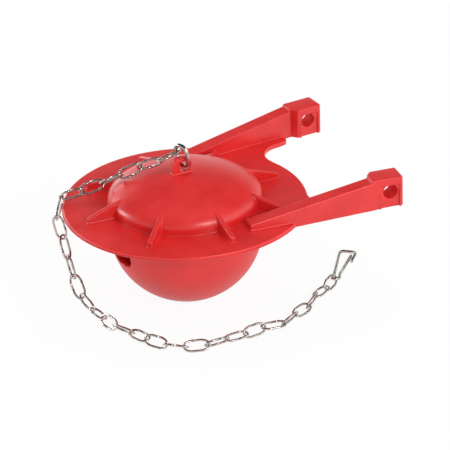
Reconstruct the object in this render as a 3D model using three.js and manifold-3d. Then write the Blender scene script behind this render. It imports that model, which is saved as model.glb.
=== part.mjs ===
// A rubber toilet flapper with its lift chain, in millimetres, +Z up.
//
// The flange lies level and the float bulb hangs below it, its lowest point on z = 0.
// +X runs from the bulb towards the two hinge lugs, and +Y towards the left-hand arm.
// The chain leaves the ring on the dome, falls over the rim and lies on z = 0, with the clip
// at its end. Lengths along X are first taken from the bulb's axis; the last lines of the file
// then move everything so that the origin is under the middle of the flapper.

import * as THREE from 'three';
import { mergeVertices } from 'three/addons/utils/BufferGeometryUtils.js';
import Module from 'manifold-3d';

const wasm = await Module();
wasm.setup();

// Float bulb: a hollow cup, part of a ball
const bulbRadius = 26.6;
const bulbWall = 2.0;
const bulbCentreBelowFlange = 7.2;
const ventWidth = 12;
const ventHeight = 9.5;
const ventCorner = 4;
const ventCentreBelowFlange = 10.4;
const ventBearing = 186.5;

// Flange: the flat seal that lies on the valve seat
const flangeRadius = 42;
const flangeThickness = 1.8;
const flangeEdgeBevel = 0.45;
const bulbSeatDepth = 0.5;
const bulbSeatClearance = 0.4;

// Dome: the low crown on the flange, hollow below
const domeRadius = 26.5;
const domeWallHeight = 2.0;
const domeCrown = 9.2;
const domeThickness = 2.0;
const domeFootRadius = 22.6;
const domeFootFillet = 0.7;

// Ribs that stiffen the flange, with their bearings in degrees
const ribBearings = [3, 48, 92, 136, 180, 227, 273, 317];
const ribThickness = 1.7;
const ribReach = 36;
const ribStartInset = 3.2;
const ribStartHeight = 6.3;
const ribEndHeight = 1.8;

// Tab on the crown, with the eye that the ring passes through
const tabRear = 4.3;
const tabFront = 2.5;
const tabThickness = 2.6;
const tabHeight = 5.6;
const tabCorner = 2.1;
const tabRoot = 1.0;
const eyeRadius = 2.05;
const eyeHeight = 2.5;

// Hinge arms: two bars that run from the flange to the lugs
const armStart = 10.2;
const armOffset = 31.2;
const armSplay = 5.5;
const armThickness = 5.3;
const armLength = 45.7;
const armStartHeight = 2.2;
const armFootRun = 14;
const armEndHeight = 9.6;
const armEndLift = 0.8;

// Lugs: the thicker blocks with the hinge bores
const lugLength = 9.4;
const lugStep = 2.4;
const lugStepRun = 1.8;
const lugTop = 10.2;
const lugLift = 0.9;
const lugBoreRadius = 2.55;
const lugBoreHeight = 4.9;
const lugPadMargin = 1.1;
const lugPadDepth = 0.35;

// Webs: the flange's two tongues along the inner sides of the arms
const webReach = 51.0;
const webWidth = 3.0;
const webEndSlant = 0.8;
const webRootRadius = 8.9;
const webInset = 2;

// Ring, links and clip, all bent from round wire
const wireGap = 0.3;
const linkPlay = 0.5;
const buttGap = 0.12;
const ringWire = 1.4;
const ringLength = 9.1;
const ringWidth = 6.6;
const ringYaw = 24;
const ringLean = 7;
const ringSag = 0.2;
const linkWire = 0.8;
const linkWidth = 4.5;
const linkPitch = 7.3;
const clipWire = 0.9;
const clipLength = 24.6;
const clipTopWidth = 6.6;
const clipHookReturn = 8.2;
const clipEyeWidth = 3.8;
const clipNeckRun = 3.6;
const clipShoulder = 1.7;
const clipCorner = 0.5;
const clipBend = 1.1;
const clipHeading = 52;
const floorGap = 0.05;

// How finely round forms are divided into flat faces
const moulding = { segments: 60, arcSteps: 6 };
const ball = { segments: 44, arcSteps: 5 };
const ringFaces = { sides: 8, steps: 22 };
const linkFaces = { sides: 6, steps: 19 };
const clipFaces = { sides: 8, steps: 50 };
const boreSides = 24;

// Heights worked out from the sizes above
const flangeBottom = bulbRadius + bulbCentreBelowFlange;
const flangeTop = flangeBottom + flangeThickness;
const domeTop = flangeTop + domeWallHeight + domeCrown;
const eyeCentre = domeTop + eyeHeight;

// The bulb's mouth is bonded into a shallow seat, so that the seal round it is one flat ring.
const bulbMouth = bulbCentreBelowFlange + bulbSeatDepth;
const bulbSeatRadius = Math.sqrt(bulbRadius ** 2 - bulbCentreBelowFlange ** 2) + bulbSeatClearance;

const rubber = { color: 0xd62f2f, roughness: 0.5, metalness: 0 };
const rubberBulb = { color: 0xc92f31, roughness: 0.5, metalness: 0 };
const steel = { color: 0xb9b6b0, roughness: 0.25, metalness: 1 };

const degrees = THREE.MathUtils.degToRad;

// Closed solids

function signedVolume(positions, index) {
  let volume = 0;
  const [a, b, c] = [new THREE.Vector3(), new THREE.Vector3(), new THREE.Vector3()];
  for (let i = 0; i < index.length; i += 3) {
    a.fromArray(positions, 3 * index[i]);
    b.fromArray(positions, 3 * index[i + 1]);
    c.fromArray(positions, 3 * index[i + 2]);
    volume += a.dot(b.cross(c)) / 6;
  }
  return volume;
}

// The triangles of a geometry with shared corners, no slivers, and all faces pointing out.
function closedMesh(geometry) {
  const bare = geometry.clone();
  bare.deleteAttribute('normal');
  bare.deleteAttribute('uv');
  const merged = mergeVertices(bare, 1e-4);
  const positions = merged.attributes.position.array;
  const source = merged.index.array;
  const index = [];
  for (let i = 0; i < source.length; i += 3) {
    const [a, b, c] = [source[i], source[i + 1], source[i + 2]];
    if (a !== b && b !== c && c !== a) {
      index.push(a, b, c);
    }
  }
  if (signedVolume(positions, index) < 0) {
    index.reverse();
  }
  return { positions, index };
}

function toSolid(geometry) {
  const { positions, index } = closedMesh(geometry);
  const mesh = new wasm.Mesh({
    numProp: 3,
    vertProperties: new Float32Array(positions),
    triVerts: new Uint32Array(index),
  });
  return new wasm.Manifold(mesh);
}

function toGeometry(solid) {
  const mesh = solid.getMesh();
  const geometry = new THREE.BufferGeometry();
  geometry.setAttribute('position', new THREE.BufferAttribute(mesh.vertProperties, 3));
  geometry.setIndex(new THREE.BufferAttribute(mesh.triVerts, 1));
  geometry.computeVertexNormals();
  return geometry;
}

function joined(geometries) {
  return geometries.map(toSolid).reduce((whole, next) => whole.add(next));
}

function withCuts(solid, geometries) {
  return geometries.map(toSolid).reduce((whole, next) => whole.subtract(next), solid);
}

// Forms

// A body of revolution about Z from a path of (radius, height) points.
function turned(path, arcSteps, segments) {
  return new THREE.LatheGeometry(path.getPoints(arcSteps), segments).rotateX(degrees(90));
}

// A plan outline in X and Y, raised from one height to another.
function raised(shape, bottom, top, curveSegments = 8) {
  const options = { depth: top - bottom, bevelEnabled: false, curveSegments };
  return new THREE.ExtrudeGeometry(shape, options).translate(0, 0, bottom);
}

// A side outline in X and Z, given thickness along Y from one place to another.
function sided(shape, from, to, curveSegments = 6) {
  const options = { depth: Math.abs(to - from), bevelEnabled: false, curveSegments };
  const geometry = new THREE.ExtrudeGeometry(shape, options).rotateX(degrees(90));
  return geometry.translate(0, Math.max(from, to), 0);
}

function outline(points) {
  return new THREE.Shape(points.map(([x, y]) => new THREE.Vector2(x, y)));
}

function roundedRectangle(width, height, corner) {
  const [x, y] = [width / 2 - corner, height / 2 - corner];
  const shape = new THREE.Shape();
  shape.absarc(x, y, corner, 0, degrees(90));
  shape.absarc(-x, y, corner, degrees(90), degrees(180));
  shape.absarc(-x, -y, corner, degrees(180), degrees(270));
  shape.absarc(x, -y, corner, degrees(270), degrees(360));
  return shape;
}

// Top moulding: flange and dome

function discAndDome() {
  const rim = flangeRadius;
  const bevel = flangeEdgeBevel;
  const hollowHeight = domeTop - domeThickness - flangeTop;
  const path = new THREE.Path();
  path.moveTo(0, flangeTop + hollowHeight);
  path.absellipse(0, flangeTop, domeFootRadius, hollowHeight, degrees(90), 0, true);
  path.lineTo(domeFootRadius, flangeBottom + bulbSeatDepth);
  path.lineTo(bulbSeatRadius, flangeBottom + bulbSeatDepth);
  path.lineTo(bulbSeatRadius, flangeBottom);
  path.lineTo(rim - bevel, flangeBottom);
  path.lineTo(rim, flangeBottom + bevel);
  path.lineTo(rim, flangeTop - bevel);
  path.lineTo(rim - bevel, flangeTop);
  path.lineTo(domeRadius + domeFootFillet, flangeTop);
  path.lineTo(domeRadius, flangeTop + domeFootFillet);
  path.lineTo(domeRadius, flangeTop + domeWallHeight);
  path.absellipse(0, flangeTop + domeWallHeight, domeRadius, domeCrown, 0, degrees(90), false);
  return turned(path, moulding.arcSteps, moulding.segments);
}

// One rib: its top runs straight from the dome's shoulder down to a blunt end.
function rib(bearing) {
  const start = domeRadius - ribStartInset;
  const foot = (flangeBottom + flangeTop) / 2;
  const side = outline([
    [start, foot],
    [ribReach, foot],
    [ribReach, flangeTop + ribEndHeight],
    [start, flangeTop + ribStartHeight],
  ]);
  const geometry = sided(side, -ribThickness / 2, ribThickness / 2);
  return geometry.rotateZ(degrees(bearing));
}

function tab() {
  const side = new THREE.Shape();
  const top = domeTop + tabHeight;
  side.moveTo(-tabRear, domeTop - tabRoot);
  side.lineTo(tabFront, domeTop - tabRoot);
  side.lineTo(tabFront, top - tabCorner);
  side.absarc(tabFront - tabCorner, top - tabCorner, tabCorner, 0, degrees(90));
  side.absarc(-tabRear + tabCorner, top - tabCorner, tabCorner, degrees(90), degrees(180));
  const eye = new THREE.Path();
  eye.absarc(0, eyeCentre, eyeRadius, 0, degrees(360), true);
  side.holes.push(eye);
  return sided(side, -tabThickness / 2, tabThickness / 2);
}

// Arms and lugs
// Each is drawn along X with its outer face on y = 0, and then set beside the flange.
// side is 1 for the arm on +Y and -1 for the one on -Y.

function setBeside(geometry, side) {
  return geometry.rotateZ(side * degrees(armSplay)).translate(armStart, side * armOffset, 0);
}

function arm(side) {
  const profile = outline([
    [0, (flangeBottom + flangeTop) / 2],
    [armFootRun, flangeBottom],
    [armLength, flangeBottom + armEndLift],
    [armLength, flangeTop + armEndHeight],
    [0, flangeTop + armStartHeight],
  ]);
  return setBeside(sided(profile, 0, -side * armThickness), side);
}

function lug(side) {
  const inner = armThickness + lugStep;
  const plan = outline([
    [armLength - lugStepRun, 0],
    [armLength + lugLength, 0],
    [armLength + lugLength, -side * inner],
    [armLength, -side * inner],
    [armLength - lugStepRun, -side * armThickness],
  ]);
  return setBeside(raised(plan, flangeBottom + lugLift, flangeTop + lugTop), side);
}

// Where the hinge axis crosses the lugs, along X.
function hingeAxis() {
  const along = armLength + lugLength / 2;
  const across = (armThickness + lugStep) / 2;
  return armStart + along * Math.cos(degrees(armSplay)) + across * Math.sin(degrees(armSplay));
}

function lugBore(side) {
  const outer = armOffset + (armLength + lugLength) * Math.sin(degrees(armSplay));
  const bore = new THREE.CylinderGeometry(lugBoreRadius, lugBoreRadius, outer, boreSides);
  return bore.translate(hingeAxis(), side * outer, flangeTop + lugBoreHeight);
}

// The shallow sunk pad round the bore, on one face of a lug.
function lugPad(side, depth) {
  const bottom = flangeBottom;
  const top = flangeTop + lugBoreHeight + lugBoreRadius;
  const length = lugLength - 2 * lugPadMargin;
  const pad = new THREE.BoxGeometry(length, 2 * lugPadDepth, top - bottom);
  pad.translate(armLength + lugLength / 2, -side * depth, (bottom + top) / 2);
  return setBeside(pad, side);
}

// Webs

// The tongue beside one arm, with the round notch where it leaves the flange's rim.
function web(side) {
  const armInner = (x) => armOffset + (x - armStart) * Math.tan(degrees(armSplay)) - armThickness;
  const notchDistance = flangeRadius + webRootRadius;
  const notchY = armInner(flangeRadius) - webWidth - webRootRadius;
  const notchX = Math.sqrt(notchDistance ** 2 - notchY ** 2);
  const inwards = Math.PI + Math.atan2(notchY, notchX);
  const edgeY = notchY + webRootRadius;
  const start = bulbSeatRadius + webInset;
  const shape = new THREE.Shape();
  shape.moveTo(start, side * armOffset);
  shape.lineTo(webReach, side * (armInner(webReach) + armThickness / 2));
  shape.lineTo(webReach + webEndSlant, side * (armInner(webReach) - webWidth / 2));
  shape.lineTo(webReach, side * (armInner(webReach) - webWidth));
  shape.lineTo(notchX, side * edgeY);
  shape.absarc(notchX, side * notchY, webRootRadius, side * degrees(90), side * inwards, side < 0);
  shape.lineTo(start, (side * notchY) / 2);
  return raised(shape, flangeBottom, flangeTop, 6);
}

function topMoulding() {
  const solids = [discAndDome(), tab()];
  for (const bearing of ribBearings) {
    solids.push(rib(bearing));
  }
  const cuts = [];
  for (const side of [1, -1]) {
    solids.push(arm(side), lug(side), web(side));
    cuts.push(lugBore(side), lugPad(side, 0), lugPad(side, armThickness + lugStep));
  }
  return toGeometry(withCuts(joined(solids), cuts));
}

// Float bulb

function cup() {
  const centre = bulbRadius;
  const inner = bulbRadius - bulbWall;
  const outerEnd = Math.asin(bulbMouth / bulbRadius);
  const innerEnd = Math.asin(bulbMouth / inner);
  const path = new THREE.Path();
  path.moveTo(0, 0);
  path.absarc(0, centre, bulbRadius, degrees(-90), outerEnd, false);
  path.absarc(0, centre, inner, innerEnd, degrees(-90), true);
  return turned(path, ball.arcSteps, ball.segments);
}

function ventWindow() {
  const reach = 2 * bulbWall + ventWidth;
  const shape = roundedRectangle(ventWidth, ventHeight, ventCorner);
  const options = { depth: reach, bevelEnabled: false, curveSegments: 4 };
  const window = new THREE.ExtrudeGeometry(shape, options);
  window.rotateX(degrees(90)).rotateZ(degrees(90));
  window.translate(bulbRadius - reach / 2, 0, flangeBottom - ventCentreBelowFlange);
  return window.rotateZ(degrees(ventBearing));
}

function floatBulb() {
  return toGeometry(withCuts(toSolid(cup()), [ventWindow()]));
}

// Wire forms

// A flat oval loop with straight sides along X and round ends, from one butt end to the other.
class OvalLoop extends THREE.Curve {
  constructor(length, width, gap) {
    super();
    this.radius = width / 2;
    this.half = length / 2 - this.radius;
    this.gap = gap;
  }

  getPoint(t, target = new THREE.Vector3()) {
    const { radius, half, gap } = this;
    const round = Math.PI * radius;
    const total = 4 * half + 2 * round;
    const way = gap / 2 + t * (total - gap);
    if (way < half) {
      return target.set(way, -radius, 0);
    }
    if (way < half + round) {
      const turn = (way - half) / radius - Math.PI / 2;
      return target.set(half + radius * Math.cos(turn), radius * Math.sin(turn), 0);
    }
    if (way < 3 * half + round) {
      return target.set(2 * half + round - way, radius, 0);
    }
    if (way < 3 * half + 2 * round) {
      const turn = (way - 3 * half - round) / radius + Math.PI / 2;
      return target.set(-half + radius * Math.cos(turn), radius * Math.sin(turn), 0);
    }
    return target.set(way - total, -radius, 0);
  }
}

// Straight lengths of wire with a bend at each inner point.
function bentWire(points, bend) {
  const path = new THREE.CurvePath();
  let last = points[0];
  for (let i = 1; i < points.length - 1; i += 1) {
    const toLast = points[i - 1].clone().sub(points[i]);
    const toNext = points[i + 1].clone().sub(points[i]);
    const inset = Math.min(bend, toLast.length() / 2, toNext.length() / 2);
    const before = points[i].clone().addScaledVector(toLast.normalize(), inset);
    const after = points[i].clone().addScaledVector(toNext.normalize(), inset);
    path.add(new THREE.LineCurve3(last, before));
    path.add(new THREE.QuadraticBezierCurve3(before, points[i], after));
    last = after;
  }
  path.add(new THREE.LineCurve3(last, points[points.length - 1]));
  return path;
}

function wireAlong(path, wire, { sides, steps }) {
  const section = [];
  for (let i = 0; i < sides; i += 1) {
    const turn = (i * 2 * Math.PI) / sides;
    section.push(new THREE.Vector2((wire / 2) * Math.cos(turn), (wire / 2) * Math.sin(turn)));
  }
  const options = { extrudePath: path, steps, bevelEnabled: false };
  const drawn = new THREE.ExtrudeGeometry(new THREE.Shape(section), options);
  const { positions, index } = closedMesh(drawn);
  const geometry = new THREE.BufferGeometry();
  geometry.setAttribute('position', new THREE.BufferAttribute(positions, 3));
  geometry.setIndex(index);
  geometry.computeVertexNormals();
  return geometry;
}

function mesh(name, geometry, look) {
  const result = new THREE.Mesh(geometry, new THREE.MeshStandardMaterial(look));
  result.name = name;
  return result;
}

// Ring: it stands in the tab's eye, turned and leaning a little towards the chain.
function chainRing() {
  const path = new OvalLoop(ringLength - ringWire, ringWidth - ringWire, buttGap);
  const ring = mesh('chain_ring', wireAlong(path, ringWire, ringFaces), steel);
  const lean = degrees(ringLean);
  const upwards = new THREE.Vector3(-Math.sin(lean), 0, Math.cos(lean));
  const across = new THREE.Vector3(-Math.sin(degrees(ringYaw)), Math.cos(degrees(ringYaw)), 0);
  const normal = upwards.clone().cross(across).normalize();
  const width = normal.clone().cross(upwards);
  ring.quaternion.setFromRotationMatrix(new THREE.Matrix4().makeBasis(upwards, width, normal));
  ring.position.set(0, 0, eyeCentre - ringSag).addScaledVector(upwards, (ringLength - ringWire) / 2);
  return ring;
}

// The chain's route, chosen by hand: from the ring down the dome, over the rim, down to the
// surface, round in front of the bulb and out to the clip.
const onSurface = 2.15;

// Over the dome: along X, along Y and height above the dome's top.
const routeOnDome = [
  [-0.8, 2.0, 7.0],
  [-7.1, 4.6, 3.7],
  [-13.2, 8.0, 1.3],
  [-19.3, 10.8, -1.7],
  [-25.2, 13.6, -4.7],
];

// At the rim and past it: how far outside the flange's rim, bearing in degrees, and height as a
// share of the flange's. A share of 0 lies on the surface.
const routePastRim = [
  [-6.4, 154.0, 1.121],
  [0.7, 153.9, 1.054],
  [2.2, 157.1, 0.862],
  [0.5, 158.2, 0.665],
  [-1.0, 160.8, 0.47],
  [-2.5, 163.1, 0.277],
  [-4.2, 169.0, 0.121],
  [-6.4, 180.5, 0.063],
  [-6.3, 192.3, 0.0],
  [-5.5, 204.2, 0.0],
  [-5.6, 215.6, 0.0],
  [-2.9, 225.9, 0.0],
  [-1.1, 235.7, 0.0],
  [0.4, 245.3, 0.0],
  [-0.4, 254.8, 0.0],
  [-1.9, 264.7, 0.0],
  [-2.6, 275.1, 0.0],
  [-2.7, 285.3, 0.0],
  [1.4, 292.7, 0.0],
  [-0.2, 301.8, 0.0],
  [2.5, 309.2, 0.0],
  [1.9, 318.7, 0.0],
  [4.2, 328.1, 0.0],
  [7.2, 335.6, 0.0],
  [23.1, 356.7, 0.0],
];

const chainRoute = [
  ...routeOnDome.map(([x, y, above]) => new THREE.Vector3(x, y, domeTop + above)),
  ...routePastRim.map(([outside, bearing, share]) => {
    const radius = flangeRadius + outside;
    const turn = degrees(bearing);
    const height = Math.max(share * flangeTop, onSurface);
    return new THREE.Vector3(radius * Math.cos(turn), radius * Math.sin(turn), height);
  }),
];

// A link that rises by more than this share of its length hangs, and its roll is measured from
// the bearing at which the chain goes over the rim.
const steepShare = 0.7;
const fallBearing = 150;

// How far each link is rolled about its own length, in degrees, from the ring to the clip.
const linkRolls = [
  -10, -65, 40, -35, 50, -65, 22, 80, -30, 35, -75, 90, 20, -55,
  50, -15, -70, 30, -45, 55, -5, -70, -5, 60, -20, 70, 10, -65,
];

// The first point of the route, from a place on it, that lies one pitch away.
function stepAlong(route, from, leg, pitch) {
  for (let i = leg; i < route.length - 1; i += 1) {
    const end = route[i + 1];
    if (end.distanceTo(from) >= pitch) {
      let near = i === leg ? from.clone() : route[i].clone();
      let far = end.clone();
      while (near.distanceTo(far) > 1e-6) {
        const middle = near.clone().lerp(far, 0.5);
        if (middle.distanceTo(from) < pitch) {
          near = middle;
        } else {
          far = middle;
        }
      }
      return { point: far, leg: i };
    }
  }
  throw new Error('the chain is longer than its route');
}

// Where each link hooks into the next, one pitch apart along the route.
function chainJoints() {
  const joints = [chainRoute[0]];
  let place = { point: chainRoute[0], leg: 0 };
  while (joints.length <= linkRolls.length) {
    place = stepAlong(chainRoute, place.point, place.leg, linkPitch);
    joints.push(place.point);
  }
  return joints;
}

// A turned frame whose X runs along the link and whose Z is the normal of its oval.
function linkFrame(along, roll) {
  const fall = degrees(fallBearing);
  const outwards = new THREE.Vector3(Math.cos(fall), Math.sin(fall), 0);
  const reference = Math.abs(along.z) > steepShare ? outwards : new THREE.Vector3(0, 0, 1);
  const side = reference.cross(along).normalize();
  const turn = degrees(roll);
  const normal = along.clone().cross(side).multiplyScalar(Math.cos(turn));
  normal.addScaledVector(side, Math.sin(turn));
  const across = normal.clone().cross(along);
  return new THREE.Matrix4().makeBasis(along, across, normal);
}

function chainLinks(joints) {
  const outerLength = linkPitch + 2 * linkWire + linkPlay;
  const path = new OvalLoop(outerLength - linkWire, linkWidth - linkWire, buttGap);
  const geometry = wireAlong(path, linkWire, linkFaces);
  return linkRolls.map((roll, i) => {
    const along = joints[i + 1].clone().sub(joints[i]).normalize();
    const number = String(i + 1).padStart(2, '0');
    const link = mesh(`chain_link_${number}`, geometry, steel);
    link.quaternion.setFromRotationMatrix(linkFrame(along, roll));
    link.position.copy(joints[i]).lerp(joints[i + 1], 0.5);
    return link;
  });
}

// Clip: a long wire triangle with an eye at its narrow end and a hook that holds its free arm.
function chainClip(lastJoint) {
  const top = clipLength - clipWire;
  const half = (clipTopWidth - clipWire) / 2;
  const eye = (clipEyeWidth - clipWire) / 2;
  const inHook = half - clipWire - wireGap;
  const points = [
    [top - clipHookReturn, -half],
    [top - clipShoulder, -half],
    [top, clipCorner - half],
    [top, half - clipCorner],
    [top - clipShoulder, half],
    [clipNeckRun, eye - clipCorner],
    [eye, eye],
    [0, eye - clipCorner],
    [0, clipCorner - eye],
    [eye, -eye],
    [clipNeckRun, clipCorner - eye],
    [top - 2 * clipShoulder, -inHook],
  ].map(([along, across]) => new THREE.Vector3(along, across, 0));
  const clip = mesh('chain_clip', wireAlong(bentWire(points, clipBend), clipWire, clipFaces), steel);
  const backwards = (clipWire + linkPlay) / 2;
  const turn = degrees(clipHeading);
  const heading = new THREE.Vector3(Math.cos(turn), Math.sin(turn), 0);
  const dip = (lastJoint.z - clipWire / 2 - floorGap) / top;
  const along = heading.clone().setZ(-dip).normalize();
  const across = new THREE.Vector3(0, 0, 1).cross(along).normalize();
  const normal = along.clone().cross(across);
  clip.quaternion.setFromRotationMatrix(new THREE.Matrix4().makeBasis(along, across, normal));
  clip.position.copy(lastJoint).addScaledVector(heading, -backwards);
  return clip;
}

// The whole object

const joints = chainJoints();
const flapper = new THREE.Group();
flapper.add(mesh('top_moulding', topMoulding(), rubber));
flapper.add(mesh('float_bulb', floatBulb(), rubberBulb));
flapper.add(chainRing());
flapper.add(...chainLinks(joints));
flapper.add(chainClip(joints[joints.length - 1]));

// The middle of the flapper's length comes to x = 0.
const extent = new THREE.Box3().setFromObject(flapper.children[0]);
flapper.position.x = -(extent.min.x + extent.max.x) / 2;

const object = new THREE.Group();
object.add(flapper);

export default object;
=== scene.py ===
"""A red rubber toilet flapper with its wire lift chain, on a plain white floor."""

import math

import bmesh
import bpy
import numpy as np
from mathutils import Matrix, Vector


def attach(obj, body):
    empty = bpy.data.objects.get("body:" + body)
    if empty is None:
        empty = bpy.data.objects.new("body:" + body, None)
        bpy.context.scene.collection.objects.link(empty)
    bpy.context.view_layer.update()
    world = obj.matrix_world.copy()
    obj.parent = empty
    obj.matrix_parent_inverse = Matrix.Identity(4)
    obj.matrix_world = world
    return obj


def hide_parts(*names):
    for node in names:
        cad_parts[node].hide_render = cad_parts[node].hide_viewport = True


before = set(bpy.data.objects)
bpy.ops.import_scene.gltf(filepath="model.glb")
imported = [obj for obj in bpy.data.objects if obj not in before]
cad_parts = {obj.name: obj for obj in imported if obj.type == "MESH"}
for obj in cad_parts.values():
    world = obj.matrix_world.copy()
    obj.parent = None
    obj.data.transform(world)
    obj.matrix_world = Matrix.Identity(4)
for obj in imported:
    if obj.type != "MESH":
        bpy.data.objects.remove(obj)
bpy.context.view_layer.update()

MM = 0.001

# Sizes in millimetres. Lengths along X are from the bulb's axis, which lies this far from the
# origin.
BULB_AXIS_X = -11.892

BULB_RADIUS = 26.6
BULB_WALL = 2.0
BULB_CENTRE_DROP = 7.2
VENT_SIZE = (12.0, 9.5)
VENT_CORNER = 4.0
VENT_DROP = 10.4
VENT_BEARING = 186.5
VENT_CUTTER = 8.0

FLANGE_RADIUS = 42.0
FLANGE_THICKNESS = 1.8
FLANGE_BOTTOM = BULB_RADIUS + BULB_CENTRE_DROP
FLANGE_TOP = FLANGE_BOTTOM + FLANGE_THICKNESS
BULB_SEAT_DEPTH = 0.5
BULB_SEAT_RADIUS = 26.0
RIM_SOFT = 0.5

# The ridge that the mould leaves round the rim: its reach, its foot's height and thickness, and
# the heights of its thin edge above that foot
FLASH_REACH = 0.2
FLASH_HEIGHT = 0.45
FLASH_FOOT = 0.3
FLASH_EDGE = (0.12, 0.18)
FLASH_ROOT = 1.0

DOME_RADIUS = 26.5
DOME_WALL_HEIGHT = 2.0
DOME_CROWN = 9.2
DOME_THICKNESS = 2.0
DOME_FOOT_RADIUS = 22.6
CREASE_WIDTH = 0.4
CREASE_DEPTH = 0.85
DOME_TOP = FLANGE_TOP + DOME_WALL_HEIGHT + DOME_CROWN

RIB_BEARINGS = (3, 48, 92, 136, 180, 227, 273, 317)
RIB_THICKNESS = 1.7
RIB_REACH = 36.0
RIB_START = DOME_RADIUS - 3.2
RIB_HEIGHTS = (6.3, 1.8)
RIB_SOFT = 0.4

TAB_REAR = 4.3
TAB_FRONT = 2.5
TAB_THICKNESS = 2.6
TAB_HEIGHT = 5.6
TAB_CORNER = 2.1
TAB_ROOT = 1.0
TAB_SOFT = 0.4
EYE_RADIUS = 2.05
EYE_HEIGHT = 2.5

ARM_START = 10.2
ARM_OFFSET = 31.2
ARM_SPLAY = math.radians(5.5)
ARM_THICKNESS = 5.3
ARM_LENGTH = 45.7
ARM_START_HEIGHT = 2.2
ARM_END_HEIGHT = 9.6
ARM_END_LIFT = 0.8
ARM_FOOT_RUN = 14.0
ARM_SOFT = 0.35

LUG_LENGTH = 9.4
LUG_STEP = 2.4
LUG_STEP_RUN = 1.8
LUG_TOP = 10.2
LUG_LIFT = 0.9
LUG_SOFT = 0.35
BORE_RADIUS = 2.55
BORE_HEIGHT = 4.9
PAD_MARGIN = 1.1
PAD_DEPTH = 0.5
RIDGE_WIDTH = 0.5
RIDGE_HEIGHT = 0.35

WEB_REACH = 51.0
WEB_WIDTH = 3.0
WEB_ROOT_RADIUS = 8.9
WEB_START = BULB_SEAT_RADIUS + 2
WEB_END = ((0.6, 0.3), (0.8, 0.6))
WEB_SOFT = 0.3

RING_WIRE = 1.4
RING_SIZE = (9.1, 6.6)
LINK_WIRE = 0.8
LINK_SIZE = (9.4, 4.5)
LINK_PITCH = 7.3
LINK_COUNT = 28
BUTT_GAP = 0.12
SIDE_SHARE = 0.45
END_SHARE = 0.6
CLIP_WIRE = 0.9
CLIP_SKIN = 0.2
CLIP_LENGTH = 24.6
CLIP_TOP_WIDTH = 6.6
CLIP_EYE_WIDTH = 3.8
CLIP_NECK_RUN = 3.6
CLIP_HOOK_RETURN = 8.2
CLIP_SHOULDER = 1.7
CLIP_HEADING = math.radians(52)
CLIP_PLAY = 0.5
CLIP_CORNER = 0.5
CLIP_BEND = 1.1
CLIP_HOOK_GAP = 0.3
FLOOR_GAP = 0.05

# The grain of each moulding's skin, and how many triangles it keeps
TOP_SKIN = (0.2, 188000)
BULB_SKIN = (0.32, 110000)
ROUND_STEPS = 240
WALL_PLAY = 0.1

# The photograph's view: angles in degrees, the rest in millimetres
VIEW_TURN, VIEW_RISE, VIEW_ROLL = -23.53, 27.13, -2.03
VIEW_DISTANCE = 1055.4
VIEW_ASIDE, VIEW_BELOW = 13.68, 8.27
VIEW_LENS = 246.73

LOOK_AT = Vector((0, 0, 0.03))
FLOOR_SIZE = 3.0
FLOOR_GLOW = 0.93


# Making solids


def new_piece(name, bm, finishes, slot, place, *nodes):
    """A finished piece on the body, in place of its CAD nodes, with its place in its mesh."""
    mesh = bpy.data.meshes.new(name)
    bm.to_mesh(mesh)
    bm.free()
    mesh.transform(place)
    for material in finishes:
        mesh.materials.append(material)
    piece = bpy.data.objects.new(name, mesh)
    bpy.context.scene.collection.objects.link(piece)
    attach(piece, "root")
    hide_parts(*nodes)
    return piece


def arc(centre, radii, start, end, steps):
    """Points on an arc or a quarter of an oval, with angles in degrees."""
    points = []
    for i in range(steps + 1):
        turn = math.radians(start + (end - start) * i / steps)
        x, y = radii[0] * math.cos(turn), radii[1] * math.sin(turn)
        points.append((centre[0] + x, centre[1] + y))
    return points


def circle(radius, steps):
    """Points all round the origin."""
    return arc((0, 0), (radius, radius), 0, 360 - 360 / steps, steps - 1)


def spun(points, steps):
    """A body of revolution about Z from (radius, height) points."""
    bm = bmesh.new()
    verts = [bm.verts.new((radius, 0, height)) for radius, height in points]
    sides = zip(verts, verts[1:] + verts[:1])
    edges = [bm.edges.new(side) for side in sides if side[0].co != side[1].co]
    bmesh.ops.spin(
        bm,
        geom=verts + edges,
        cent=(0, 0, 0),
        axis=(0, 0, 1),
        angle=math.tau,
        steps=steps,
        use_merge=True,
    )
    bmesh.ops.remove_doubles(bm, verts=bm.verts, dist=1e-4)
    bmesh.ops.dissolve_degenerate(bm, edges=bm.edges, dist=1e-5)
    bmesh.ops.recalc_face_normals(bm, faces=bm.faces)
    return bm


def raised(points, bottom, top, soft=0.0):
    """A plan outline in X and Y raised between two heights, with softened edges."""
    bm = bmesh.new()
    face = bm.faces.new([bm.verts.new((x, y, bottom)) for x, y in points])
    made = bmesh.ops.extrude_face_region(bm, geom=[face])
    lifted = [v for v in made["geom"] if isinstance(v, bmesh.types.BMVert)]
    bmesh.ops.translate(bm, verts=lifted, vec=(0, 0, top - bottom))
    bmesh.ops.recalc_face_normals(bm, faces=bm.faces)
    if soft:
        sharp = [e for e in bm.edges if e.calc_face_angle(0) > math.radians(35)]
        bmesh.ops.bevel(
            bm,
            geom=sharp,
            offset=soft,
            segments=3,
            profile=0.5,
            affect="EDGES",
            material=-1,
            clamp_overlap=True,
        )
    return bm


def sided(points, near, far, soft=0.0):
    """A side outline in X and Z given thickness along Y."""
    bm = raised(points, -max(near, far), -min(near, far), soft)
    return moved(bm, quarter("X"))


def quarter(axis):
    """A quarter turn about an axis."""
    return Matrix.Rotation(math.pi / 2, 4, axis)


def moved(bm, matrix):
    bmesh.ops.transform(bm, matrix=matrix, verts=bm.verts)
    return bm


def together(parts):
    """One mesh from several."""
    whole = bmesh.new()
    for part in parts:
        mesh = bpy.data.meshes.new("part")
        part.to_mesh(mesh)
        part.free()
        whole.from_mesh(mesh)
        bpy.data.meshes.remove(mesh)
    return whole


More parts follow.
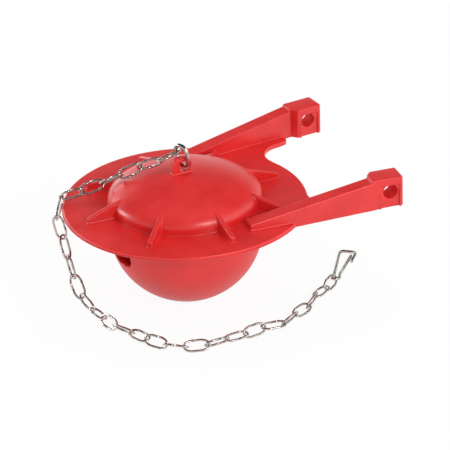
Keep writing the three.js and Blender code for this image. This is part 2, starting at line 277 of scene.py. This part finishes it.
def shaped(bm, build):
    """The mesh after the modifiers that build adds, which are all applied."""
    mesh = bpy.data.meshes.new("shape")
    bm.to_mesh(mesh)
    bm.free()
    holder = bpy.data.objects.new("shape", mesh)
    bpy.context.scene.collection.objects.link(holder)
    spare = build(holder)
    graph = bpy.context.evaluated_depsgraph_get()
    result = bmesh.new()
    result.from_object(holder, graph)
    for item in [holder, *spare]:
        used = item.data
        bpy.data.objects.remove(item)
        bpy.data.meshes.remove(used)
    return result


def cut(bm, cutter):
    """The mesh with the cutter's space taken away."""

    def build(holder):
        mesh = bpy.data.meshes.new("cutter")
        cutter.to_mesh(mesh)
        cutter.free()
        tool = bpy.data.objects.new("cutter", mesh)
        bpy.context.scene.collection.objects.link(tool)
        boolean = holder.modifiers.new("cut", "BOOLEAN")
        boolean.operation = "DIFFERENCE"
        boolean.solver = "EXACT"
        boolean.object = tool
        return [tool]

    return shaped(bm, build)


def moulded(bm, grain, triangles):
    """One skin round everything, with the small radii that a mould leaves on edges and corners."""

    def build(holder):
        remesh = holder.modifiers.new("skin", "REMESH")
        remesh.mode = "VOXEL"
        remesh.voxel_size = grain
        smooth = holder.modifiers.new("soften", "SMOOTH")
        smooth.factor = 0.5
        smooth.iterations = 2
        return []

    skin = shaped(bm, build)
    have = 2 * len(skin.faces)

    def thin(holder):
        decimate = holder.modifiers.new("thin", "DECIMATE")
        decimate.ratio = min(1.0, triangles / have)
        return []

    skin = shaped(skin, thin)
    for face in skin.faces:
        face.smooth = True
    return skin


# Top moulding


def disc_and_dome():
    hollow = DOME_TOP - DOME_THICKNESS - FLANGE_TOP
    seat = FLANGE_BOTTOM + BULB_SEAT_DEPTH
    soft = RIM_SOFT
    edge = FLANGE_RADIUS - soft
    profile = arc((0, FLANGE_TOP), (DOME_FOOT_RADIUS, hollow), 90, 0, 32)
    profile += [(DOME_FOOT_RADIUS, seat), (BULB_SEAT_RADIUS, seat)]
    profile += [(BULB_SEAT_RADIUS, FLANGE_BOTTOM)]
    profile += arc((edge, FLANGE_BOTTOM + soft), (soft, soft), -90, 0, 4)
    profile += arc((edge, FLANGE_TOP - soft), (soft, soft), 0, 90, 4)
    profile += [(DOME_RADIUS + CREASE_WIDTH, FLANGE_TOP), (DOME_RADIUS, FLANGE_TOP - CREASE_DEPTH)]
    profile += arc((0, FLANGE_TOP + DOME_WALL_HEIGHT), (DOME_RADIUS, DOME_CROWN), 0, 90, 40)
    return spun(profile, ROUND_STEPS)


def rib(bearing):
    foot = FLANGE_BOTTOM + FLANGE_THICKNESS / 2
    side = [
        (RIB_START, foot),
        (RIB_REACH, foot),
        (RIB_REACH, FLANGE_TOP + RIB_HEIGHTS[1]),
        (RIB_START, FLANGE_TOP + RIB_HEIGHTS[0]),
    ]
    bm = sided(side, -RIB_THICKNESS / 2, RIB_THICKNESS / 2, RIB_SOFT)
    return moved(bm, Matrix.Rotation(math.radians(bearing), 4, "Z"))


def tab():
    top = DOME_TOP + TAB_HEIGHT
    corner = TAB_CORNER
    side = [(-TAB_REAR, DOME_TOP - TAB_ROOT), (TAB_FRONT, DOME_TOP - TAB_ROOT)]
    side += arc((TAB_FRONT - corner, top - corner), (corner, corner), 0, 90, 5)
    side += arc((corner - TAB_REAR, top - corner), (corner, corner), 90, 180, 5)
    bm = sided(side, -TAB_THICKNESS / 2, TAB_THICKNESS / 2, TAB_SOFT)
    eye = raised(circle(EYE_RADIUS, 32), -TAB_THICKNESS, TAB_THICKNESS)
    place = Matrix.Translation((0, 0, DOME_TOP + EYE_HEIGHT)) @ quarter("X")
    return cut(bm, moved(eye, place))


def beside(side):
    """The place of the arm on one side: 1 for +Y, -1 for -Y."""
    root = Matrix.Translation((ARM_START, side * ARM_OFFSET, 0))
    return root @ Matrix.Rotation(side * ARM_SPLAY, 4, "Z")


def arm(side):
    profile = [
        (0, FLANGE_BOTTOM + FLANGE_THICKNESS / 2),
        (ARM_FOOT_RUN, FLANGE_BOTTOM),
        (ARM_LENGTH, FLANGE_BOTTOM + ARM_END_LIFT),
        (ARM_LENGTH, FLANGE_TOP + ARM_END_HEIGHT),
        (0, FLANGE_TOP + ARM_START_HEIGHT),
    ]
    return moved(sided(profile, 0, -side * ARM_THICKNESS, ARM_SOFT), beside(side))


def hinge_x():
    """Where the hinge axis crosses the lugs, along X."""
    middle = ARM_LENGTH + LUG_LENGTH / 2
    across = (ARM_THICKNESS + LUG_STEP) / 2
    return ARM_START + middle * math.cos(ARM_SPLAY) + across * math.sin(ARM_SPLAY)


def upright(left, right, low, high):
    """The corners of a plain oblong."""
    return [(left, low), (right, low), (right, high), (left, high)]


def lug(side):
    inner = ARM_THICKNESS + LUG_STEP
    end = ARM_LENGTH + LUG_LENGTH
    plan = [
        (ARM_LENGTH - LUG_STEP_RUN, 0),
        (end, 0),
        (end, -side * inner),
        (ARM_LENGTH, -side * inner),
        (ARM_LENGTH - LUG_STEP_RUN, -side * ARM_THICKNESS),
    ]
    low = FLANGE_BOTTOM + LUG_LIFT
    axis = FLANGE_TOP + BORE_HEIGHT
    bm = raised(plan, low, FLANGE_TOP + LUG_TOP, LUG_SOFT)
    middle = ARM_LENGTH + LUG_LENGTH / 2
    half = LUG_LENGTH / 2 - PAD_MARGIN
    for face in (0, -side * inner):
        pad = upright(middle - half, middle + half, FLANGE_BOTTOM, axis + BORE_RADIUS)
        bm = cut(bm, sided(pad, face - PAD_DEPTH, face + PAD_DEPTH))
    bm = moved(bm, beside(side))
    ridges = []
    for face, outwards in ((0, side), (-side * inner, -side)):
        for edge in (middle - half, middle + half):
            strip = upright(edge - RIDGE_WIDTH / 2, edge + RIDGE_WIDTH / 2, low, axis)
            ridge = sided(strip, face - outwards, face + outwards * RIDGE_HEIGHT)
            ridges.append(moved(ridge, beside(side)))
    outer = ARM_OFFSET + end * math.sin(ARM_SPLAY)
    bore = raised(circle(BORE_RADIUS, 48), -outer / 2, outer / 2)
    place = Matrix.Translation((hinge_x(), side * outer, axis)) @ quarter("X")
    return together([cut(bm, moved(bore, place)), *ridges])


def arm_inner(x):
    """How far the inner side of an arm is from the middle plane."""
    return ARM_OFFSET + (x - ARM_START) * math.tan(ARM_SPLAY) - ARM_THICKNESS


def web(side):
    distance = FLANGE_RADIUS + WEB_ROOT_RADIUS
    notch_y = arm_inner(FLANGE_RADIUS) - WEB_WIDTH - WEB_ROOT_RADIUS
    notch_x = math.sqrt(distance**2 - notch_y**2)
    inwards = 180 + math.degrees(math.atan2(notch_y, notch_x))
    reach = arm_inner(WEB_REACH)
    plan = [
        (WEB_START, ARM_OFFSET),
        (WEB_REACH, reach + ARM_THICKNESS / 2),
        *[(WEB_REACH + out, reach - WEB_WIDTH * share) for out, share in WEB_END],
        (WEB_REACH, reach - WEB_WIDTH),
    ]
    plan += arc((notch_x, notch_y), (WEB_ROOT_RADIUS, WEB_ROOT_RADIUS), 90, inwards, 14)
    plan += [(WEB_START, notch_y / 2)]
    return raised([(x, side * y) for x, y in plan], FLANGE_BOTTOM, FLANGE_TOP, WEB_SOFT)


def flash_line():
    """The fine ridge that the two halves of the mould leave round the rim."""
    height = FLANGE_BOTTOM + FLASH_HEIGHT
    root, reach = FLANGE_RADIUS - FLASH_ROOT, FLANGE_RADIUS + FLASH_REACH
    low, high = FLASH_EDGE
    section = [(root, height), (root, height + FLASH_FOOT)]
    section += [(reach, height + high), (reach, height + low)]
    return spun(section, ROUND_STEPS)


def top_moulding():
    parts = [disc_and_dome(), tab()]
    parts += [rib(bearing) for bearing in RIB_BEARINGS]
    for side in (1, -1):
        parts += [arm(side), lug(side), web(side)]
    whole = together([moulded(together(parts), *TOP_SKIN), flash_line()])
    # the inside of the bores and the dome takes the second finish, which carries a painted red
    # glow
    for face in whole.faces:
        place = face.calc_center_median()
        beside_axis = math.hypot(place.x - hinge_x(), place.z - FLANGE_TOP - BORE_HEIGHT)
        in_bore = abs(place.y) > ARM_OFFSET and beside_axis < BORE_RADIUS + WALL_PLAY
        beside_dome = math.hypot(place.x, place.y)
        in_dome = beside_dome < DOME_FOOT_RADIUS + WALL_PLAY and face.normal.z < 0
        face.material_index = 1 if in_bore or in_dome else 0
    return whole


# Float bulb


def float_bulb():
    inner = BULB_RADIUS - BULB_WALL
    centre = (0, BULB_RADIUS)
    mouth = BULB_CENTRE_DROP + BULB_SEAT_DEPTH
    outer_end = math.degrees(math.asin(mouth / BULB_RADIUS))
    inner_end = math.degrees(math.asin(mouth / inner))
    profile = arc(centre, (BULB_RADIUS, BULB_RADIUS), -90, outer_end, 48)
    profile += arc(centre, (inner, inner), inner_end, -90, 48)
    cup = spun(profile, 192)
    x, y = VENT_SIZE[0] / 2 - VENT_CORNER, VENT_SIZE[1] / 2 - VENT_CORNER
    outline = []
    for (sx, sy), start in zip(((1, 1), (-1, 1), (-1, -1), (1, -1)), (0, 90, 180, 270)):
        outline += arc((sx * x, sy * y), (VENT_CORNER, VENT_CORNER), start, start + 90, 6)
    window = raised(outline, -VENT_CUTTER, VENT_CUTTER)
    place = (
        Matrix.Rotation(math.radians(VENT_BEARING), 4, "Z")
        @ Matrix.Translation((BULB_RADIUS, 0, FLANGE_BOTTOM - VENT_DROP))
        @ quarter("Z")
        @ quarter("X")
    )
    whole = moulded(cut(cup, moved(window, place)), *BULB_SKIN)
    # the inside of the cup takes the second finish, which carries a painted red glow
    for face in whole.faces:
        from_centre = (face.calc_center_median() - Vector((0, 0, BULB_RADIUS))).length
        face.material_index = 1 if from_centre < inner + BULB_WALL / 4 else 0
    return whole


# Wire forms


def edges_of(items):
    return [item for item in items if isinstance(item, bmesh.types.BMEdge)]


def drawn_wire(wire, corners, bend, sides=14):
    """Round wire in the plane z = 0 through these corners, with a bend at each inner one."""
    points = [Vector((x, y, 0)) for x, y in corners]
    bm = bmesh.new()
    made = bmesh.ops.create_circle(bm, cap_ends=False, segments=sides, radius=wire / 2)
    way = (points[1] - points[0]).normalized()
    stand = Matrix.Translation(points[0]) @ way.to_track_quat("Z", "Y").to_matrix().to_4x4()
    bmesh.ops.transform(bm, matrix=stand, verts=made["verts"])
    ring = list(bm.edges)
    place = points[0]
    for last, corner, after in zip(points, points[1:], points[2:] + [None]):
        reach = corner
        if after is not None:
            ahead, next_way = (corner - last).normalized(), (after - corner).normalized()
            turn = math.atan2(ahead.cross(next_way).z, ahead.dot(next_way))
            slope = math.tan(abs(turn) / 2)
            inset = min(bend * slope, (corner - last).length / 2, (after - corner).length / 2)
            reach = corner - ahead * inset
        if (reach - place).length > 1e-4:
            grown = bmesh.ops.extrude_edge_only(bm, edges=ring)["geom"]
            verts = {item for item in grown if isinstance(item, bmesh.types.BMVert)}
            bmesh.ops.translate(bm, verts=list(verts), vec=reach - place)
            ring = [edge for edge in edges_of(grown) if set(edge.verts) <= verts]
        place = reach
        if after is not None:
            left = Vector((-ahead.y, ahead.x, 0)) * math.copysign(1, turn)
            centre = place + left * inset / slope
            steps = max(2, math.ceil(math.degrees(abs(turn)) / 10))
            grown = bmesh.ops.spin(
                bm, geom=ring, cent=centre, axis=(0, 0, 1), angle=turn, steps=steps
            )
            ring = edges_of(grown["geom_last"])
            place = corner + next_way * inset
    bmesh.ops.recalc_face_normals(bm, faces=bm.faces)
    for face in bm.faces:
        face.smooth = True
    ends = [edge for edge in bm.edges if edge.is_boundary]
    caps = bmesh.ops.holes_fill(bm, edges=ends, sides=0)["faces"]
    for cap in caps:
        cap.smooth = False
    return bm


def oval(size, wire):
    """The corners of a link or ring, from one butt end to the other."""
    x, y = (size[0] - wire) / 2, (size[1] - wire) / 2
    gap = BUTT_GAP / 2
    side, end = SIDE_SHARE * x, END_SHARE * y
    half = [(side, -y), (x, -end), (x, end), (side, y)]
    turned = [(-along, -across) for along, across in half]
    return [(gap, -y), *half, *turned, (-gap, -y)], y


def lie_of(node):
    """Where a CAD loop lies, in metres: X along it and Z square to it."""
    points = np.array([v.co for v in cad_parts[node].data.vertices])
    middle = points.mean(0)
    axes = np.linalg.svd(points - middle, full_matrices=False)[2]
    spans = (points - middle) @ axes.T
    centre = middle + ((spans.min(0) + spans.max(0)) / 2) @ axes
    along, across = Vector(axes[0]), Vector(axes[1])
    turn = Matrix((along, across, along.cross(across))).transposed().to_4x4()
    return Matrix.Translation(Vector(centre)) @ turn


def clip_corners():
    top = CLIP_LENGTH - CLIP_WIRE
    half = (CLIP_TOP_WIDTH - CLIP_WIRE) / 2
    eye = (CLIP_EYE_WIDTH - CLIP_WIRE) / 2
    hook = half - CLIP_WIRE - CLIP_HOOK_GAP
    return [
        (top - CLIP_HOOK_RETURN, -half),
        (top - CLIP_SHOULDER, -half),
        (top, CLIP_CORNER - half),
        (top, half - CLIP_CORNER),
        (top - CLIP_SHOULDER, half),
        (CLIP_NECK_RUN, eye - CLIP_CORNER),
        (eye, eye),
        (0, eye - CLIP_CORNER),
        (0, CLIP_CORNER - eye),
        (eye, -eye),
        (CLIP_NECK_RUN, CLIP_CORNER - eye),
        (top - 2 * CLIP_SHOULDER, -hook),
    ]


def clip_place():
    """The clip hangs in the far end of the last link and slopes down to the surface."""
    last, before = (lie_of(f"chain_link_{number:02d}") for number in (LINK_COUNT, LINK_COUNT - 1))
    along = last.to_3x3() @ Vector((1, 0, 0))
    if along.dot(last.translation - before.translation) < 0:
        along = -along
    joint = last.translation + along * LINK_PITCH / 2 * MM
    heading = Vector((math.cos(CLIP_HEADING), math.sin(CLIP_HEADING), 0))
    drop = joint.z / MM - (CLIP_WIRE + CLIP_SKIN) / 2 - FLOOR_GAP
    dip = drop / (CLIP_LENGTH - CLIP_WIRE)
    forward = (heading - Vector((0, 0, dip))).normalized()
    across = Vector((0, 0, 1)).cross(forward).normalized()
    turn = Matrix((forward, across, forward.cross(across))).transposed().to_4x4()
    start = joint - heading * (CLIP_WIRE + CLIP_PLAY) / 2 * MM
    return Matrix.Translation(start) @ turn


# Finishes


def link(tree, source, target):
    tree.links.new(source, target)


def add(tree, kind, **values):
    """A node with its plain settings and the values of its named sockets."""
    node = tree.nodes.new(kind)
    for name, value in values.items():
        if name.startswith("_"):
            setattr(node, name[1:], value)
        else:
            node.inputs[name.replace("_", " ")].default_value = value
    return node


def two_tones(tree, source, low, high, dark, light):
    """The colour between dark and light that goes with a value between low and high."""
    tone = add(tree, "ShaderNodeValToRGB")
    for element, place, colour in zip(tone.color_ramp.elements, (low, high), (dark, light)):
        element.position = place
        element.color = (*colour, 1)
    link(tree, source, tone.inputs["Fac"])
    return tone.outputs["Color"]


def spread(tree, source, least, most):
    """A value between least and most that goes with a noise."""
    span = add(
        tree, "ShaderNodeMapRange", From_Min=0.3, From_Max=0.7, To_Min=least, To_Max=most
    )
    link(tree, source, span.inputs["Value"])
    return span.outputs["Result"]


def relief(tree, source, strength, depth):
    bump = add(tree, "ShaderNodeBump", Strength=strength, Distance=depth)
    link(tree, source, bump.inputs["Height"])
    return bump.outputs["Normal"]


def blotch_group():
    """Uneven tone and fine grain of moulded rubber, from a place on the piece."""
    group = bpy.data.node_groups.new("moulded_skin", "ShaderNodeTree")
    group.interface.new_socket("Place", in_out="INPUT", socket_type="NodeSocketVector")
    group.interface.new_socket("Blotch Size", in_out="INPUT", socket_type="NodeSocketFloat")
    group.interface.new_socket("Tone", in_out="OUTPUT", socket_type="NodeSocketFloat")
    group.interface.new_socket("Grain", in_out="OUTPUT", socket_type="NodeSocketFloat")
    given = group.nodes.new("NodeGroupInput")
    result = group.nodes.new("NodeGroupOutput")
    blotch = add(group, "ShaderNodeTexNoise", Detail=3.0, Roughness=0.55, Distortion=0.4)
    speck = add(group, "ShaderNodeTexNoise", Scale=900.0, Detail=4.0, Roughness=0.6)
    fine = add(group, "ShaderNodeTexNoise", Scale=2600.0, Detail=3.0, Roughness=0.55)
    link(group, given.outputs["Place"], blotch.inputs["Vector"])
    link(group, given.outputs["Place"], speck.inputs["Vector"])
    link(group, given.outputs["Place"], fine.inputs["Vector"])
    link(group, given.outputs["Blotch Size"], blotch.inputs["Scale"])
    mix = add(group, "ShaderNodeMix", _data_type="FLOAT")
    mix.inputs["Factor"].default_value = 0.3
    link(group, blotch.outputs["Fac"], mix.inputs["A"])
    link(group, speck.outputs["Fac"], mix.inputs["B"])
    link(group, mix.outputs["Result"], result.inputs["Tone"])
    link(group, fine.outputs["Fac"], result.inputs["Grain"])
    return group


def rubber(name, group, dark, light, roughness, blotch_size, gloss=0.62, painted_glow_strength=0.0):
    """Satin red rubber with an uneven bloom, and a faint painted red glow from emission."""
    material = bpy.data.materials.new(name)
    material.use_nodes = True
    tree = material.node_tree
    shader = tree.nodes["Principled BSDF"]
    shader.inputs["Specular IOR Level"].default_value = gloss
    # painted glow: a faint red emission stands in for light shining across thin rubber
    shader.inputs["Emission Color"].default_value = (0.9, 0.01, 0.02, 1)
    shader.inputs["Emission Strength"].default_value = painted_glow_strength
    place = tree.nodes.new("ShaderNodeTexCoord")
    skin = tree.nodes.new("ShaderNodeGroup")
    skin.node_tree = group
    skin.inputs["Blotch Size"].default_value = blotch_size
    link(tree, place.outputs["Object"], skin.inputs["Place"])
    tone, grain = skin.outputs["Tone"], skin.outputs["Grain"]
    link(tree, two_tones(tree, tone, 0.32, 0.68, dark, light), shader.inputs["Base Color"])
    link(tree, spread(tree, tone, roughness - 0.05, roughness + 0.07), shader.inputs["Roughness"])
    link(tree, relief(tree, grain, 0.12, 0.00006), shader.inputs["Normal"])
    return material


def wire_metal(name, dark, light, roughness):
    """Drawn wire: grey metal with fine streaks and a little tarnish."""
    material = bpy.data.materials.new(name)
    material.use_nodes = True
    tree = material.node_tree
    shader = tree.nodes["Principled BSDF"]
    shader.inputs["Metallic"].default_value = 1.0
    place = tree.nodes.new("ShaderNodeTexCoord")
    tarnish = add(tree, "ShaderNodeTexNoise", Scale=700.0, Detail=4.0, Roughness=0.6)
    streak = add(tree, "ShaderNodeTexNoise", Scale=2400.0, Detail=3.0, Roughness=0.6)
    link(tree, place.outputs["Object"], tarnish.inputs["Vector"])
    link(tree, place.outputs["Object"], streak.inputs["Vector"])
    tone, fine = tarnish.outputs["Fac"], streak.outputs["Fac"]
    link(tree, two_tones(tree, tone, 0.38, 0.6, dark, light), shader.inputs["Base Color"])
    link(tree, spread(tree, fine, roughness - 0.06, roughness + 0.1), shader.inputs["Roughness"])
    link(tree, relief(tree, fine, 0.12, 0.00003), shader.inputs["Normal"])
    return material


# Stage


def any_of(tree, *rays):
    """1 for these kinds of ray of the Light Path node, and 0 for the rest."""
    path = tree.nodes.new("ShaderNodeLightPath")
    found = path.outputs[rays[0]]
    for ray in rays[1:]:
        either = add(tree, "ShaderNodeMath", _operation="MAXIMUM")
        link(tree, found, either.inputs[0])
        link(tree, path.outputs[ray], either.inputs[1])
        found = either.outputs["Value"]
    return found


def set_world(strength, overhead):
    """White behind the object, for mirrors too, falling off overhead, with a plain soft light."""
    world = bpy.data.worlds.new("studio")
    world.use_nodes = True
    tree = world.node_tree
    background = tree.nodes["Background"]
    background.inputs["Color"].default_value = (1, 1, 1, 1)
    place = tree.nodes.new("ShaderNodeTexCoord")
    parts = tree.nodes.new("ShaderNodeSeparateXYZ")
    fall = add(
        tree, "ShaderNodeMapRange", From_Min=0.1, From_Max=0.5, To_Min=1.0, To_Max=overhead
    )
    fall.interpolation_type = "SMOOTHSTEP"
    link(tree, place.outputs["Generated"], parts.inputs["Vector"])
    link(tree, parts.outputs["Z"], fall.inputs["Value"])
    mirrored = add(tree, "ShaderNodeMix", _data_type="FLOAT")
    mirrored.inputs["A"].default_value = strength
    link(tree, any_of(tree, "Is Glossy Ray", "Is Transmission Ray"), mirrored.inputs["Factor"])
    link(tree, fall.outputs["Result"], mirrored.inputs["B"])
    shown = add(tree, "ShaderNodeMath", _operation="MAXIMUM")
    link(tree, mirrored.outputs["Result"], shown.inputs[0])
    link(tree, any_of(tree, "Is Camera Ray"), shown.inputs[1])
    link(tree, shown.outputs["Value"], background.inputs["Strength"])
    bpy.context.scene.world = world


def set_floor():
    bm = bmesh.new()
    bmesh.ops.create_grid(bm, x_segments=1, y_segments=1, size=FLOOR_SIZE)
    mesh = bpy.data.meshes.new("floor")
    bm.to_mesh(mesh)
    bm.free()
    floor = bpy.data.objects.new("floor", mesh)
    bpy.context.scene.collection.objects.link(floor)
    material = bpy.data.materials.new("white_floor")
    material.use_nodes = True
    tree = material.node_tree
    shader = tree.nodes["Principled BSDF"]
    shader.inputs["Base Color"].default_value = (0.9, 0.9, 0.9, 1)
    shader.inputs["Roughness"].default_value = 0.9
    shader.inputs["Specular IOR Level"].default_value = 0.0
    glow = add(tree, "ShaderNodeEmission", Color=(1, 1, 1, 1), Strength=1.0)
    share = add(tree, "ShaderNodeMath", _operation="MULTIPLY")
    share.inputs[1].default_value = FLOOR_GLOW
    mix = tree.nodes.new("ShaderNodeMixShader")
    seen = any_of(tree, "Is Camera Ray", "Is Glossy Ray", "Is Transmission Ray")
    link(tree, seen, share.inputs[0])
    link(tree, share.outputs["Value"], mix.inputs["Fac"])
    link(tree, shader.outputs["BSDF"], mix.inputs[1])
    link(tree, glow.outputs["Emission"], mix.inputs[2])
    # seen from below the floor is clear, so that the underside of the flapper can be looked at
    clear = tree.nodes.new("ShaderNodeBsdfTransparent")
    behind = tree.nodes.new("ShaderNodeNewGeometry")
    side = tree.nodes.new("ShaderNodeMixShader")
    link(tree, behind.outputs["Backfacing"], side.inputs["Fac"])
    link(tree, mix.outputs["Shader"], side.inputs[1])
    link(tree, clear.outputs["BSDF"], side.inputs[2])
    link(tree, side.outputs["Shader"], tree.nodes["Material Output"].inputs["Surface"])
    mesh.materials.append(material)


def set_lamp(name, way, distance, size, power, mirrored=True):
    """A soft square lamp that looks at the object from a direction, in its gloss or not."""
    lamp = bpy.data.lights.new(name, "AREA")
    lamp.shape = "SQUARE"
    lamp.size = size
    lamp.energy = power
    holder = bpy.data.objects.new(name, lamp)
    bpy.context.scene.collection.objects.link(holder)
    direction = Vector(way).normalized()
    holder.visible_glossy = mirrored
    holder.location = LOOK_AT + direction * distance
    holder.rotation_mode = "QUATERNION"
    holder.rotation_quaternion = direction.to_track_quat("Z", "Y")


def set_camera():
    """The photograph's view: from in front and a little above, with a slight roll."""
    turn, rise, roll = (math.radians(angle) for angle in (VIEW_TURN, VIEW_RISE, VIEW_ROLL))
    level = Vector((math.sin(turn), -math.cos(turn), 0))
    back = level * math.cos(rise) + Vector((0, 0, math.sin(rise)))
    right = Vector((math.cos(turn), math.sin(turn), 0))
    up = back.cross(right)
    side = right * math.cos(roll) + up * math.sin(roll)
    over = up * math.cos(roll) - right * math.sin(roll)
    camera = bpy.data.cameras.new("camera")
    camera.sensor_width = 36.0
    camera.lens = VIEW_LENS
    camera.clip_start, camera.clip_end = 0.05, 20
    holder = bpy.data.objects.new("camera", camera)
    bpy.context.scene.collection.objects.link(holder)
    flange = Vector((BULB_AXIS_X, 0, FLANGE_TOP))
    place = (flange + back * VIEW_DISTANCE + side * VIEW_ASIDE - over * VIEW_BELOW) * MM
    facing = Matrix((side, over, back)).transposed().to_4x4()
    holder.matrix_world = Matrix.Translation(place) @ facing
    bpy.context.scene.camera = holder


# The whole scene

set_camera()

skin_group = blotch_group()
top_red = rubber(
    "red_rubber_top", skin_group, (0.60, 0.012, 0.012), (0.74, 0.022, 0.021), 0.33, 90.0
)
bulb_red = rubber(
    "red_rubber_bulb", skin_group, (0.58, 0.016, 0.016), (0.72, 0.030, 0.027), 0.45, 60.0
)
# the inside finish: less gloss, and a faint painted red glow in its emission
inner_red_with_painted_glow = rubber(
    "red_rubber_inside_painted_glow",
    skin_group,
    (0.58, 0.011, 0.011),
    (0.70, 0.020, 0.018),
    0.6,
    90.0,
    gloss=0.1,
    painted_glow_strength=0.05,
)
bright_wire = wire_metal("bright_wire", (0.34, 0.315, 0.29), (0.62, 0.585, 0.545), 0.23)

IN_MM = Matrix.Scale(MM, 4)
FLAPPER = IN_MM @ Matrix.Translation((BULB_AXIS_X, 0, 0))

top_finish, bulb_finish = [top_red, inner_red_with_painted_glow], [bulb_red, inner_red_with_painted_glow]
new_piece("moulded_top", top_moulding(), top_finish, "red_rubber", FLAPPER, "top_moulding")
new_piece("hollow_bulb", float_bulb(), bulb_finish, "red_rubber_bulb", FLAPPER, "float_bulb")

corners, bend = oval(RING_SIZE, RING_WIRE)
ring = drawn_wire(RING_WIRE, corners, bend, 18)
place = lie_of("chain_ring") @ IN_MM
new_piece("tab_ring", ring, [bright_wire], "bright_wire", place, "chain_ring")

corners, bend = oval(LINK_SIZE, LINK_WIRE)
for number in range(1, LINK_COUNT + 1):
    node = f"chain_link_{number:02d}"
    loop = drawn_wire(LINK_WIRE, corners, bend)
    place = lie_of(node) @ IN_MM
    new_piece(f"wire_link_{number:02d}", loop, [bright_wire], "bright_wire", place, node)

clip = drawn_wire(CLIP_WIRE + CLIP_SKIN, clip_corners(), CLIP_BEND)
place = clip_place() @ IN_MM
new_piece("wire_clip", clip, [bright_wire], "bright_wire", place, "chain_clip")

set_world(0.62, 0.05)
set_floor()
set_lamp("left_lamp", (-0.81, 0.55, 0.22), 0.9, 0.2, 1.9)
set_lamp("right_lamp", (0.85, -0.5, 0.2), 1.0, 1.1, 3.8)
set_lamp("front_lamp", (0.14, -0.88, 0.46), 0.9, 0.2, 2.9)
set_lamp("back_lamp", (-0.2, 0.95, 0.18), 1.0, 0.6, 2.2)
set_lamp("overhead_lamp", (0.0, 0.1, 1.0), 0.9, 0.9, 1.7, False)

bpy.context.scene.view_settings.view_transform = "Standard"
